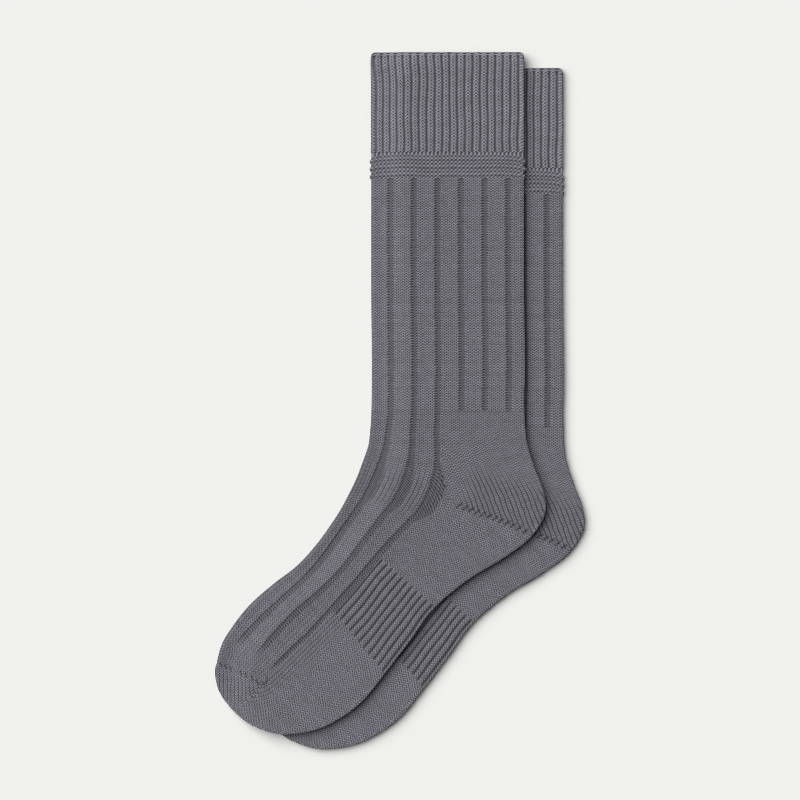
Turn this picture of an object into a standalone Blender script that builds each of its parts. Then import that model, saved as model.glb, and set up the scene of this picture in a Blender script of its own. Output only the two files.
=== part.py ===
"""A pair of knitted calf socks, laid flat on a surface, one sock on the other.

Each sock is a flattened tube: two knit walls that lie on each other, joined by a rounded fold
at the instep edge and at the heel edge, open at the cuff and closed at the toe. The tube is made
in six knitted stages, each its own solid. A stage is a row of cross-sections, and each
cross-section stands on a chord, the straight line across the flat sock from its front fold to
its back fold. Ribs and ridges are raised in the upper wall's outer points over a plain inside,
and the underside is plain. The upper sock rests on the lower one and comes down to the surface
where it reaches past it.

Units are millimetres up to the mesh, which is in metres. +X is towards the heel side, +Y towards
the cuff, +Z up. The origin is under the middle of the pair.
"""

from collections import namedtuple

import bmesh
import bpy
import numpy as np

METRE = 0.001

# Driving sizes
LEG_WIDTH = 99.5  # flat, fold to fold
CUFF_LENGTH = 65.6
BAND_LENGTH = 16.9
LEG_LENGTH = 151.5
WALL = 1.8  # a knit wall where a rib line sinks into it
RIB_DEPTH = 0.7  # from the crest of a rib down to the sunk line
SLIT = 0.6  # between the two walls
CLEARANCE = 0.3  # between two pieces
LIP = 0.6  # rounding of the cuff's mouth
LOWER_SOCK_SHIFT = (25.35, -10.1)  # the lower sock from the upper one, along X and Y
FALL_STARTS, FALL_ENDS = 1.5, 21.0  # how far past the lower sock's edge the upper one comes down

FLAT_HEIGHT = 2 * WALL + SLIT + RIB_DEPTH
UPPER_SOCK_RISE = FLAT_HEIGHT + CLEARANCE

# The 4x2 rib: four raised wales, then two that sink
RIB_REPEAT = 15.3
FIRST_SUNK_LINE = 11.8  # its middle, from the front fold
SUNK_LINE_WIDTH = 4.4
LEG_SUNK_LINES = 6
SUNK_SIDE = 0.7  # how far a sunk line's sloping side reaches across

# The 1x1 ribs
CUFF_RIB_PITCH = 4.93
FIRST_CUFF_GROOVE = 6.9  # from the front fold
CUFF_GROOVES = 19
GROOVE_HALF_WIDTH = 1.35
ARCH_RIBS = 10
ARCH_RIBS_PAST_LINE_3 = 0.062  # the first arch groove, as a share of the chord

BAND_BULGE = 0.9  # how far a ridge pushes each fold out

# Cross-sections of the foot: where each chord meets the front and the back fold. x is from the
# leg's front fold, down is from the leg's lower end. The chords fan round the ankle, cross the
# foot and close on the toe. full is the thickness as a share of FLAT_HEIGHT.
Section = namedtuple("Section", "name front_x front_down back_x back_down full")
FOOT_SECTIONS = (
    Section("ankle", -0.6, 11.7, 101.4, 18.9, 1.0),
    Section("heel back", -1.9, 22.1, 106.6, 36.4, 1.0),
    Section("heel widest", -5.2, 31.9, 112.8, 53.3, 1.0),
    Section("heel point", -9.1, 42.3, 113.4, 66.3, 1.0),
    Section("heel base", -13.0, 50.7, 104.0, 81.9, 1.0),
    Section("sole start", -16.3, 57.2, 85.2, 96.2, 1.0),
    Section("sole", -19.5, 63.1, 63.7, 109.2, 1.0),
    Section("arch start", -23.1, 68.9, 42.3, 126.8, 1.0),
    Section("arch", -35.1, 85.8, 26.0, 148.2, 1.0),
    Section("arch end", -48.8, 100.8, 9.1, 170.3, 1.0),
    Section("forefoot", -64.0, 112.5, -5.2, 187.9, 1.0),
    Section("ball", -78.7, 125.5, -18.9, 198.6, 1.0),
    Section("toe start", -89.7, 139.1, -34.5, 206.4, 1.0),
    Section("toe side", -97.2, 151.5, -48.8, 209.3, 1.0),
    Section("toe round", -100.4, 163.2, -61.8, 209.3, 1.0),
    Section("toe corner", -101.4, 171.6, -73.5, 205.7, 0.96),
    Section("toe end", -99.5, 180.7, -82.6, 200.9, 0.86),
    Section("tip", -96.2, 187.2, -91.0, 193.7, 0.68),
)

# Middle of each sunk line, as a share of the chord between the folds
Path = namedtuple("Path", "section line_1 line_2 line_3")
SUNK_LINE_PATHS = (
    Path("leg end", 0.104, 0.267, 0.428),
    Path("heel back", 0.078, 0.245, 0.405),
    Path("heel point", 0.063, 0.225, 0.378),
    Path("sole start", 0.061, 0.226, 0.384),
    Path("arch start", 0.058, 0.252, 0.408),
    Path("arch", 0.062, 0.246, 0.390),
    Path("arch end", 0.071, 0.226, 0.383),
    Path("forefoot", 0.087, 0.223, 0.402),
    Path("ball", 0.094, 0.245, 0.413),
    Path("toe start", 0.086, 0.264, 0.430),
)
SUNK_LINES_FADE = (-9.0, 3.0)  # where they rise to the plain toe, from its start

# The band's ridges, down from its top, and how high each ring of it stands
BandRing = namedtuple("BandRing", "down crest")
BAND_RINGS = (
    BandRing(0.15, 0.0),
    BandRing(1.4, 1.0),
    BandRing(3.2, 1.0),
    BandRing(4.6, 0.0),
    BandRing(6.2, 1.0),
    BandRing(8.2, 1.0),
    BandRing(10.1, 0.0),
    BandRing(11.7, 1.0),
    BandRing(13.7, 1.0),
    BandRing(15.3, 0.0),
    BandRing(16.75, 0.7),
)

# Knit colour and finish of each stage, the same yarn throughout
YARN_GREY = (0.128, 0.125, 0.143, 1.0)
YARN_ROUGHNESS = 0.92
STAGES = ("cuff", "band", "leg", "heel", "arch", "toe")


def section_table():
    """All cross-sections from the cuff to the tip: names, front folds, back folds, fullness."""
    leg_downs = {
        "cuff top": 0.0,
        "cuff middle": CUFF_LENGTH / 2,
        "band start": CUFF_LENGTH,
        "leg start": CUFF_LENGTH + BAND_LENGTH,
        "leg middle": CUFF_LENGTH + BAND_LENGTH + LEG_LENGTH / 2,
        "leg end": CUFF_LENGTH + BAND_LENGTH + LEG_LENGTH,
    }
    names = list(leg_downs)
    fronts = [(0.0, -down) for down in leg_downs.values()]
    backs = [(LEG_WIDTH, -down) for down in leg_downs.values()]
    fulls = [1.0] * len(names)
    heel_start = leg_downs["leg end"]
    for section in FOOT_SECTIONS:
        names.append(section.name)
        fronts.append((section.front_x, -heel_start - section.front_down))
        backs.append((section.back_x, -heel_start - section.back_down))
        fulls.append(section.full)
    return names, np.array(fronts), np.array(backs), np.array(fulls)


NAMES, FRONTS, BACKS, FULLS = section_table()
MIDDLES = (FRONTS + BACKS) / 2
STEPS = np.linalg.norm(np.diff(MIDDLES, axis=0), axis=1)
STATIONS = np.concatenate([[0.0], np.cumsum(STEPS)])  # along the middle of the flat sock


def station_of(name):
    return STATIONS[NAMES.index(name)]


def smooth(knots, values, at):
    """Values at a station, on a smooth curve through the knots."""
    slopes = np.gradient(values, knots, axis=0)
    left = int(np.clip(np.searchsorted(knots, at, side="right") - 1, 0, len(knots) - 2))
    span = knots[left + 1] - knots[left]
    f = (at - knots[left]) / span
    return (
        (1 + 2 * f) * (1 - f) ** 2 * values[left]
        + f * (1 - f) ** 2 * span * slopes[left]
        + f**2 * (3 - 2 * f) * values[left + 1]
        + f**2 * (f - 1) * span * slopes[left + 1]
    )


def chord(station):
    """The chord's ends on the front and the back fold."""
    return smooth(STATIONS, FRONTS, station), smooth(STATIONS, BACKS, station)


def fullness(station):
    return float(np.interp(station, STATIONS, FULLS))


def outline(step=3.0):
    """The flat sock's outline as one closed loop of points."""
    stations = np.arange(0.0, STATIONS[-1] + step, step).clip(max=STATIONS[-1])
    folds = np.array([chord(station) for station in stations])
    return np.concatenate([folds[:, 0], folds[::-1, 1]])


def pair_centre():
    points = outline(0.5)
    both = np.concatenate([points, points + LOWER_SOCK_SHIFT])
    return (both.min(axis=0) + both.max(axis=0)) / 2


def distance_outside(points, loop):
    """How far each point lies outside a closed loop, and 0 inside it."""
    start, end = loop, np.roll(loop, -1, axis=0)
    along = end - start
    offset = points[:, None] - start
    share = (offset * along).sum(2) / np.maximum((along**2).sum(1), 1e-9)
    nearest = start + share.clip(0, 1)[..., None] * along
    distance = np.linalg.norm(points[:, None] - nearest, axis=2).min(axis=1)
    crosses = (start[:, 1] > points[:, None, 1]) != (end[:, 1] > points[:, None, 1])
    rise = np.where(along[:, 1] == 0, 1.0, along[:, 1])
    cross_x = start[:, 0] + (points[:, None, 1] - start[:, 1]) / rise * along[:, 0]
    inside = (crosses & (points[:, None, 0] < cross_x)).sum(1) % 2 == 1
    return np.where(inside, 0.0, distance)


LOWER_OUTLINE = outline() + LOWER_SOCK_SHIFT


def upper_sock_height(points):
    """How high the upper sock's underside is: on the lower sock, then down to the surface."""
    past = distance_outside(points, LOWER_OUTLINE)
    f = ((past - FALL_STARTS) / (FALL_ENDS - FALL_STARTS)).clip(0, 1)
    return UPPER_SOCK_RISE * (1 - f * f * (3 - 2 * f))


def flat_on_surface(points):
    return np.zeros(len(points))


class Sock:
    """Where one sock lies, and how many points its plain walls need across."""

    def __init__(self, name, shift, height, plain_shares):
        self.name = name
        self.shift = np.array(shift)
        self.height = height
        self.plain_shares = plain_shares


SOCKS = (
    Sock(
        "upper",
        (0.0, 0.0),
        upper_sock_height,
        (0.0, 0.05, 0.11, 0.17, 0.23, 0.29, 0.36, 0.44, 0.53, 0.64, 0.8, 1.0),
    ),
    Sock("lower", LOWER_SOCK_SHIFT, flat_on_surface, np.linspace(0.0, 1.0, 7)),
)


def sunk_line_columns(centre, width_share, side_share):
    """A sunk line's four points across: share of the chord and depth below the crest."""
    half = width_share / 2
    return [
        (centre - half, 0.0),
        (centre - half + side_share, RIB_DEPTH),
        (centre + half - side_share, RIB_DEPTH),
        (centre + half, 0.0),
    ]


def with_panel_middles(columns):
    """Adds a point in the middle of each wide raised panel, and the two ends."""
    columns = [(0.0, 0.0)] + columns + [(1.0, 0.0)]
    full = [columns[0]]
    for before, after in zip(columns, columns[1:]):
        if before[1] == after[1] == 0.0 and after[0] - before[0] > 0.08:
            full.append(((before[0] + after[0]) / 2, 0.0))
        full.append(after)
    return full


def rib_columns(first_share, last_share, ribs):
    """1x1 ribs between two shares of the chord, three points to a rib."""
    pitch = (last_share - first_share) / ribs
    columns = []
    for rib in range(ribs):
        start = first_share + rib * pitch
        columns += [
            (start, RIB_DEPTH),
            (start + 0.3 * pitch, 0.0),
            (start + 0.7 * pitch, 0.0),
        ]
    return columns


def flat_span(width):
    """Width of the chord between the two rounded folds."""
    return width - FLAT_HEIGHT


def foot_lines(station):
    """The three sunk lines' places at a station of the heel, arch or toe."""
    knots = np.array([station_of(path.section) for path in SUNK_LINE_PATHS])
    lines = np.array([(path.line_1, path.line_2, path.line_3) for path in SUNK_LINE_PATHS])
    return smooth(knots, lines, min(station, knots[-1]))


def cuff_columns(station, width):
    del station
    columns = [(0.0, 0.0)]
    for groove in range(CUFF_GROOVES):
        middle = FIRST_CUFF_GROOVE + groove * CUFF_RIB_PITCH - FLAT_HEIGHT / 2
        sides = (middle - GROOVE_HALF_WIDTH, middle, middle + GROOVE_HALF_WIDTH)
        depths = (0.0, RIB_DEPTH, 0.0)
        columns += [(side / flat_span(width), depth) for side, depth in zip(sides, depths)]
    return columns + [(1.0, 0.0)]


def band_columns(station, width):
    del station, width
    return [(share, 0.0) for share in np.linspace(0.0, 1.0, 9)]


def leg_columns(station, width):
    del station
    span = flat_span(width)
    columns = []
    for line in range(LEG_SUNK_LINES):
        centre = (FIRST_SUNK_LINE + line * RIB_REPEAT - FLAT_HEIGHT / 2) / span
        columns += sunk_line_columns(centre, SUNK_LINE_WIDTH / span, SUNK_SIDE / span)
    return with_panel_middles(columns)


def foot_line_columns(station, width):
    span = flat_span(width)
    past_toe_start = station - station_of("toe start")
    kept = float(np.interp(past_toe_start, SUNK_LINES_FADE, (1.0, 0.0)))
    columns = []
    for centre in foot_lines(station):
        line_width = min(SUNK_LINE_WIDTH / span, 0.09)
        side = min(SUNK_SIDE / span, 0.02)
        four = sunk_line_columns(centre, line_width, side)
        columns += [(share, drop * kept) for share, drop in four]
    return columns


def plain_foot_columns(station, width):
    columns = foot_line_columns(station, width)
    last = columns[-1][0]
    plain = [(last + (1.0 - last) * share, 0.0) for share in (0.25, 0.5, 0.75)]
    first = [(columns[0][0] / 2, 0.0)]
    return [(0.0, 0.0)] + first + columns + plain + [(1.0, 0.0)]


def arch_columns(station, width):
    ribs_start = foot_lines(station)[-1] + ARCH_RIBS_PAST_LINE_3
    ribs = rib_columns(ribs_start, 1.0, ARCH_RIBS)
    return [(0.0, 0.0)] + foot_line_columns(station, width) + ribs + [(1.0, 0.0)]


COLUMNS_OF = {
    "cuff": cuff_columns,
    "band": band_columns,
    "leg": leg_columns,
    "heel": plain_foot_columns,
    "arch": arch_columns,
    "toe": plain_foot_columns,
}

FOLD_ANGLES = np.radians([54.0, 18.0, -18.0, -54.0])


class Ring:
    """One cross-section: two loops of points, each with its place round the loop from 0 to 4."""

    def __init__(self, sock, stage, station, shift=0.0, crest=1.0, spread=0.0, lip=0.0):
        self.station = station
        front, back = chord(station)
        across = (back - front) / np.linalg.norm(back - front)
        along = np.array([across[1], -across[0]])  # towards the toe
        front = front + along * shift - across * (spread - lip)
        back = back + along * shift + across * (spread - lip)
        width = float(np.linalg.norm(back - front))
        columns = COLUMNS_OF[stage](station, width)
        full = fullness(station)
        top = FLAT_HEIGHT * full - lip - RIB_DEPTH * (1 - crest)
        bottom = lip
        radius = (top - bottom) / 2
        shares = np.array([share for share, _ in columns])
        drops = np.array([drop for _, drop in columns]) * min(full, crest)
        self.outer = self.loop(
            sock, front, across, radius, width - radius, shares, top - drops, bottom, radius
        )
        inner_top = (WALL + SLIT) * full
        inner_radius = SLIT * full / 2
        inner_edge = WALL * full + inner_radius + spread
        inner_shares = np.array(sock.plain_shares)
        self.inner = self.loop(
            sock,
            front,
            across,
            inner_edge,
            width - inner_edge,
            inner_shares,
            np.full(len(inner_shares), inner_top),
            WALL * full,
            inner_radius,
        )

    def loop(self, sock, front, across, near, far, shares, tops, bottom, radius):
        """Top from front to back, round the back fold, back along the plain bottom, and round."""
        span = far - near
        middle = bottom + radius
        cosines, sines = radius * np.cos(FOLD_ANGLES), radius * np.sin(FOLD_ANGLES)
        under = np.array(sock.plain_shares)[::-1]
        places = [
            (shares, near + span * shares, tops),
            (1 + np.linspace(0.2, 0.8, 4), far + cosines, middle + sines),
            (3 - under, near + span * under, np.full(len(under), bottom)),
            (3 + np.linspace(0.2, 0.8, 4), near - cosines, middle - sines),
        ]
        place = np.concatenate([part[0] for part in places])
        reach = np.concatenate([part[1] for part in places])
        height = np.concatenate([part[2] for part in places])
        flat = front + across * reach[:, None]
        height = height + sock.height(flat + sock.shift)
        flat = flat + sock.shift - PAIR_CENTRE
        return place, np.column_stack([flat, height]) * METRE


def add_loop(bm, loop):
    return [bm.verts.new(point) for point in loop[1]]


def skin(bm, loops):
    """Quads between loops of equal counts."""
    for before, after in zip(loops, loops[1:]):
        for i in range(len(before)):
            j = (i + 1) % len(before)
            bm.faces.new((before[i], before[j], after[j], after[i]))


def close_end(bm, outer, outer_places, inner, inner_places):
    """The flat end between an outer and an inner loop, taking each loop's points in turn."""
    i = j = 0
    while i < len(outer) or j < len(inner):
        outer_next = outer_places[i + 1] if i + 1 < len(outer) else 4.0
        inner_next = inner_places[j + 1] if j + 1 < len(inner) else 4.0
        a, b = outer[i % len(outer)], inner[j % len(inner)]
        if j == len(inner) or (i < len(outer) and outer_next <= inner_next):
            i += 1
            bm.faces.new((a, outer[i % len(outer)], b))
        else:
            j += 1
            bm.faces.new((a, inner[j % len(inner)], b))


def tube(name, rings, material, closed_end=False):
    """One stage of a sock as a solid. A closed toe's inside stops short of its tip."""
    bm = bmesh.new()
    outers = [add_loop(bm, ring.outer) for ring in rings]
    hollow = [ring for ring in rings if not closed_end or ring.station <= INSIDE_ENDS]
    inners = [add_loop(bm, ring.inner) for ring in hollow]
    skin(bm, outers)
    skin(bm, inners)
    close_end(bm, outers[0], rings[0].outer[0], inners[0], rings[0].inner[0])
    if closed_end:
        bm.faces.new(inners[-1])
        bm.faces.new(outers[-1])
    else:
        close_end(bm, outers[-1], rings[-1].outer[0], inners[-1], rings[-1].inner[0])
    bmesh.ops.recalc_face_normals(bm, faces=bm.faces)
    mesh = bpy.data.meshes.new(name)
    bm.to_mesh(mesh)
    bm.free()
    mesh.materials.append(material)
    mesh.shade_smooth()
    mesh.set_sharp_from_angle(angle=np.radians(50))
    piece = bpy.data.objects.new(name, mesh)
    bpy.context.collection.objects.link(piece)


def halves(stations):
    """The stations with one more half way between each two."""
    middles = (stations[1:] + stations[:-1]) / 2
    return np.sort(np.concatenate([stations, middles]))


def between(first, last):
    """Stations of the table's rows from one section to another."""
    return STATIONS[NAMES.index(first) : NAMES.index(last) + 1]


def plain_rings(sock, stage, stations):
    """Rings at these stations, the first and last drawn in by half a clearance."""
    shifts = np.zeros(len(stations))
    shifts[0], shifts[-1] = CLEARANCE / 2, -CLEARANCE / 2
    return [Ring(sock, stage, s, shift) for s, shift in zip(stations, shifts)]


def cuff_rings(sock):
    draping = (5.0, 9.0, 13.0, 18.0, 26.0) if sock.name == "upper" else (16.4,)
    lower_half = halves(between("cuff middle", "band start"))
    stations = np.array([LIP, *draping, *lower_half])
    mouth = Ring(sock, "cuff", 0.0, lip=LIP / 2)
    body = plain_rings(sock, "cuff", stations)
    return [mouth, Ring(sock, "cuff", LIP)] + body[1:]


def band_rings(sock):
    top = station_of("band start")
    return [
        Ring(sock, "band", top + ring.down, crest=ring.crest, spread=BAND_BULGE * ring.crest)
        for ring in BAND_RINGS
    ]


def leg_rings(sock):
    stations = halves(halves(between("leg start", "leg end")))
    return plain_rings(sock, "leg", stations)


def heel_rings(sock):
    before = between("leg end", "heel back")
    turn = halves(between("heel back", "sole start"))
    after = between("sole", "arch start")
    return plain_rings(sock, "heel", np.concatenate([before, turn[1:], after]))


def arch_rings(sock):
    return plain_rings(sock, "arch", halves(between("arch start", "arch end")))


def toe_rings(sock):
    before = between("arch end", "toe side")
    if sock.name == "upper":
        before = halves(before)
    round_toe = halves(between("toe side", "tip"))
    stations = np.concatenate([before, round_toe[1:]])
    rings = plain_rings(sock, "toe", stations)
    return rings[:-1] + [Ring(sock, "toe", stations[-1])]


RINGS_OF = {
    "cuff": cuff_rings,
    "band": band_rings,
    "leg": leg_rings,
    "heel": heel_rings,
    "arch": arch_rings,
    "toe": toe_rings,
}
INSIDE_ENDS = station_of("toe corner")

PAIR_CENTRE = pair_centre()


def knit_material(stage):
    material = bpy.data.materials.new(f"{stage}_knit")
    material.use_nodes = True
    shader = material.node_tree.nodes["Principled BSDF"]
    shader.inputs["Base Color"].default_value = YARN_GREY
    shader.inputs["Roughness"].default_value = YARN_ROUGHNESS
    shader.inputs["Metallic"].default_value = 0.0
    material.diffuse_color = YARN_GREY
    return material


def clear_scene():
    for old in list(bpy.data.objects):
        bpy.data.objects.remove(old, do_unlink=True)


def main():
    clear_scene()
    materials = {stage: knit_material(stage) for stage in STAGES}
    for sock in SOCKS:
        for stage in STAGES:
            rings = RINGS_OF[stage](sock)
            tube(f"{sock.name}_{stage}", rings, materials[stage], closed_end=stage == "toe")


if __name__ == "__main__":
    main()
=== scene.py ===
"""A pair of knitted calf socks, laid flat on a pale surface, one sock on the other.

Each sock is knitted in six stages from the cuff down, and each stage is one piece: a closed thin
shell on the form of its solid. The shell's outer face carries the knit itself: 1x1 ribs on the
cuff and under the arch, garter ridges on the band, 4x2 wide ribs down the leg, plain knit on the
heel pocket, the sole and the toe cap, and the short-row gores of the heel and toe.

Lengths are millimetres up to the meshes, which are in metres. On a sock lying alone, x runs from
the front fold towards the heel and y from the cuff's mouth down to minus values. A station is a
distance along the middle of the flat sock. Knit is counted in wales (u, across) and courses (v,
along).
"""

from collections import namedtuple
from functools import partial

import bmesh
import bpy
import numpy as np
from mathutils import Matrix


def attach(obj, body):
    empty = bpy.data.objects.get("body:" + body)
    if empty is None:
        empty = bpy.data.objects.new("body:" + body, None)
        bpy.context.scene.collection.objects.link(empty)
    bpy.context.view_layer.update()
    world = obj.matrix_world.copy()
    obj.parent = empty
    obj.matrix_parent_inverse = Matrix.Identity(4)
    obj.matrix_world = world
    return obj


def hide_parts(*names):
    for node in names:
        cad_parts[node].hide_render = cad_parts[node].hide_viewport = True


bl_info = {
    "name": "Calf Socks",
    "version": (1, 0, 0),
    "blender": (4, 5, 0),
    "location": "View3D > Sidebar > Socks",
    "description": "Builds a pair of knitted calf socks stage by stage, with a studio around them",
    "category": "Object",
}

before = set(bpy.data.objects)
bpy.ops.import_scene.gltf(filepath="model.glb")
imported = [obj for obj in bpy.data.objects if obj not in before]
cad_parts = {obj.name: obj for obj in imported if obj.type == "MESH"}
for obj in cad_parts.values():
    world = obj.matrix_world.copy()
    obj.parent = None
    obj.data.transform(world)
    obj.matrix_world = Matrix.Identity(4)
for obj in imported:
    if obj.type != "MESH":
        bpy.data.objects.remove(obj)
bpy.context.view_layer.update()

METRE = 0.001

# ---------------------------------------------------------------- sizes shared with the solids

LEG_WIDTH = 99.5  # flat, fold to fold
CUFF_LENGTH = 65.6
BAND_LENGTH = 16.9
LEG_START = CUFF_LENGTH + BAND_LENGTH
WALL = 1.8  # a knit wall where a rib line sinks into it
RIB_DEPTH = 0.7
SLIT = 0.6  # between the two walls
CLEARANCE = 0.3
LOWER_SOCK_SHIFT = (25.35, -10.1)
FALL_STARTS, FALL_ENDS = 1.5, 21.0  # past the lower sock's edge, where the upper comes down
FLAT_HEIGHT = 2 * WALL + SLIT + RIB_DEPTH
UPPER_SOCK_RISE = FLAT_HEIGHT + CLEARANCE
FOLD_RADIUS = FLAT_HEIGHT / 2

# Cross-sections: where each chord across the flat sock meets its front and its back fold. full
# is the thickness as a share of FLAT_HEIGHT.
Section = namedtuple("Section", "name front_x front_down back_x back_down full")
LEG_SECTIONS = (  # down is from the cuff's mouth
    Section("cuff top", 0.0, 0.0, LEG_WIDTH, 0.0, 1.0),
    Section("cuff middle", 0.0, CUFF_LENGTH / 2, LEG_WIDTH, CUFF_LENGTH / 2, 1.0),
    Section("band start", 0.0, CUFF_LENGTH, LEG_WIDTH, CUFF_LENGTH, 1.0),
    Section("leg start", 0.0, LEG_START, LEG_WIDTH, LEG_START, 1.0),
    Section("leg middle", 0.0, 158.25, 99.7, 158.25, 1.0),
    Section("leg lower", 0.4, 206.0, 100.3, 206.0, 1.0),
    Section("leg end", 0.1, 234.0, 100.0, 234.0, 1.0),
)
FOOT_SECTIONS = (  # down is from the leg's end
    Section("ankle", -0.6, 11.7, 101.4, 18.9, 1.0),
    Section("heel back", -1.9, 22.1, 106.6, 36.4, 1.0),
    Section("heel widest", -5.2, 31.9, 112.8, 53.3, 1.0),
    Section("heel point", -9.1, 42.3, 113.4, 66.3, 1.0),
    Section("heel base", -13.0, 50.7, 104.0, 81.9, 1.0),
    Section("sole start", -16.3, 57.2, 85.2, 96.2, 1.0),
    Section("sole", -19.5, 63.1, 63.7, 109.2, 1.0),
    Section("arch start", -23.1, 68.9, 42.3, 126.8, 1.0),
    Section("arch", -35.1, 85.8, 26.0, 148.2, 1.0),
    Section("arch end", -48.8, 100.8, 9.1, 170.3, 1.0),
    Section("forefoot", -64.0, 112.5, -5.2, 187.9, 1.0),
    Section("ball", -78.7, 125.5, -18.9, 198.6, 1.0),
    Section("toe start", -89.7, 139.1, -34.5, 206.4, 1.0),
    Section("toe side", -97.2, 151.5, -48.8, 209.3, 1.0),
    Section("toe round", -100.4, 163.2, -61.8, 209.3, 1.0),
    Section("toe corner", -101.4, 171.6, -73.5, 205.7, 0.96),
    Section("toe end", -99.5, 180.7, -82.6, 200.9, 0.86),
    Section("tip", -96.2, 187.2, -91.0, 193.7, 0.68),
)

# Middle of each sunk rib line, as a share of the chord between the folds
Path = namedtuple("Path", "section line_1 line_2 line_3")
SUNK_LINE_PATHS = (
    Path("leg end", 0.099, 0.261, 0.422),
    Path("heel back", 0.078, 0.245, 0.405),
    Path("heel point", 0.063, 0.225, 0.378),
    Path("sole start", 0.061, 0.226, 0.384),
    Path("arch start", 0.058, 0.252, 0.408),
    Path("arch", 0.062, 0.246, 0.390),
    Path("arch end", 0.071, 0.226, 0.383),
    Path("forefoot", 0.087, 0.223, 0.402),
    Path("ball", 0.094, 0.245, 0.413),
    Path("toe start", 0.086, 0.264, 0.430),
)

# ---------------------------------------------------------------- sizes of the knit

WALE = 2.55  # one column of stitches, on the leg
COURSE = 1.69  # one row of stitches
CUFF_COURSE = 2.0
ARCH_COURSE = 1.87
WALES_ROUND = 80
FIRST_LINE_X = 11.8  # the leg's first sunk line, from the front fold
LINE_WALES = (5, 11, 17, 23, 29, 35)  # middle of each sunk line, counted in wales
FOOT_LINE_WALES = (5, 11, 17)  # those that run on down the instep
LINE_LEFT, LINE_RIGHT = 0.4, 1.15  # how far a line shows each side of its middle, in wales
LINE_SIDE = 0.2  # its sloping side
LINE_ROLL = 0.22  # how far a panel's edges roll up beside a sunk line
LINES_FADE = (-9.0, 3.0)  # where the foot's lines rise to the plain toe, from its start
LINE_1_RUNS_ON = 6.5  # how much further the first of them goes

STITCH_LEAN = 0.66  # how far a knit stitch's legs run down at its sides, in courses
RIB_STITCH_LEAN = 1.15  # the same on the narrow ribs, which are drawn together
APART = 0.3  # how far the wales are drawn apart at the least, from 0 to 1
GAP_SHADE = 0.5  # how much painted shade lies between wales that are drawn apart
CUFF_RIB = 4.93
RIB_FACE = 0.8  # share of a narrow rib that its knit wale takes
MOUTH_EDGE = 2.0  # plain edge that closes the ribs off at the cuff's mouth
EYELETS_BELOW_EDGE = 0.9  # a row of small holes, one to each groove
EYELET_LENGTH, EYELET_WIDTH = 1.1, 0.16  # in mm and in ribs
MOUTH_DROP = 0.3  # how far the loops round the mouth's edge take it down
MOUTH_CORNER = (2.9, 4.2)  # how far the mouth's corners are rounded, across and down
RIBS_SPLAY = 0.25  # how far the cuff's first ribs lean out at its mouth, in ribs
RIBS_CROWD = 0.33  # how far those by the front fold are drawn in from it, in ribs
LOOPS_OUT = 0.3  # how far the tops of the loops stand out round the folds
FOLD_FLATNESS = 0.36  # 1 is a half circle, less a squarer fold
LIP_ROWS = 5  # round the lip of the cuff's mouth
FIRST_CUFF_GROOVE = 6.9  # from the front fold
ARCH_RIBS = 10
ARCH_RIBS_PAST_LINE_3 = 0.062  # where they begin, as a share of the chord
ARCH_RIB_WALES = (19.5, 39.5)  # those that they take up
UNEVEN_WALES, UNEVEN_COURSES = 0.1, 0.16  # how far the stitches stray from their rows
BAND_BULGE = 0.9  # how far a ridge pushes each fold out
BAND_ROW_SPACING = 0.42

# Down the band: how high the ridges stand, and how many courses of bumps lie above
Crest = namedtuple("Crest", "down height repeats")
BAND_CRESTS = (
    Crest(0.0, 0.0, 0.0),
    Crest(1.6, 0.0, 0.0),
    Crest(4.0, 1.0, 1.0),
    Crest(6.2, 0.0, 2.0),
    Crest(8.8, 1.0, 3.0),
    Crest(11.4, 0.0, 4.0),
    Crest(14.0, 1.0, 5.0),
    Crest(16.5, 0.0, 6.0),
    Crest(16.9, 0.0, 5.8),
)
BAND_DROOP, DROOP_REACH = 2.0, 3.0  # how far the ridges droop at the folds, and how far in

# The heel's gore, where the pocket's courses meet those of the sole
GorePoint = namedtuple("GorePoint", "wale station")
HEEL_GORE = (
    GorePoint(17.0, 288.5),
    GorePoint(19.2, 290.2),
    GorePoint(22.3, 292.5),
    GorePoint(24.5, 294.8),
    GorePoint(28.0, 296.0),
    GorePoint(31.5, 297.2),
    GorePoint(35.0, 298.6),
    GorePoint(38.4, 301.0),
)
HEEL_CROWD = 0.16  # how much closer the pocket's first wales lie than its last
BEND_BEGINS, BEND_IS_OVER = (268.0, 286.0), (318.0, 303.0)  # as stations
FOOT_BEGINS = (300.0, 330.0)
LINES_WIDER_ON_FOOT = (0.35, 0.35, 0.35)  # how much wider the sunk lines are there, in wales
LINES_WIDEN = (0.7, 0.9, 2.2)  # the same in the bend
PURL_SLANT = 1.1  # how many courses the purl in them is drawn askew, for each wale
POCKET_LEAN = 0.36  # how far the pocket's wales lean back, a share of how far they run
POCKET_LEANS_FROM, POCKET_LEANT_BY = 18.0, 44.0  # below the leg's end
POCKET_SPREAD = 0.25  # how much further apart the wales are at the gore
POCKET_SPREADS, POCKET_TILTS = (8.0, 58.0), (10.0, 60.0)  # over which lengths below the leg's end
DRAWN_WALES, DRAWN_ABOVE_GORE = (20.0, 27.0), (-42.0, -18.0)  # where its wales are drawn apart
SOLE_SKEW, SOLE_SKEW_ENDS = 0.2, (335.0, 305.0)  # how the sole's courses start askew
HEEL_GORE_X = (57.5, 100.5)  # between the first mark and the last
HEEL_GORE_MARKS = 12
HEEL_GORE_STROKE = (1.5, 1.1)  # half a mark, to the right and up
INSTEP_COURSES = 60  # from the leg's end to the arch's start, the same on every wale
INSTEP_EASES = (0.25, 0.8)  # over which share of it they are drawn closer
GORE_STROKE_WIDTH, STROKE_WIDTH, HOOK_WIDTH = 0.75, 0.55, 0.5

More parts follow.
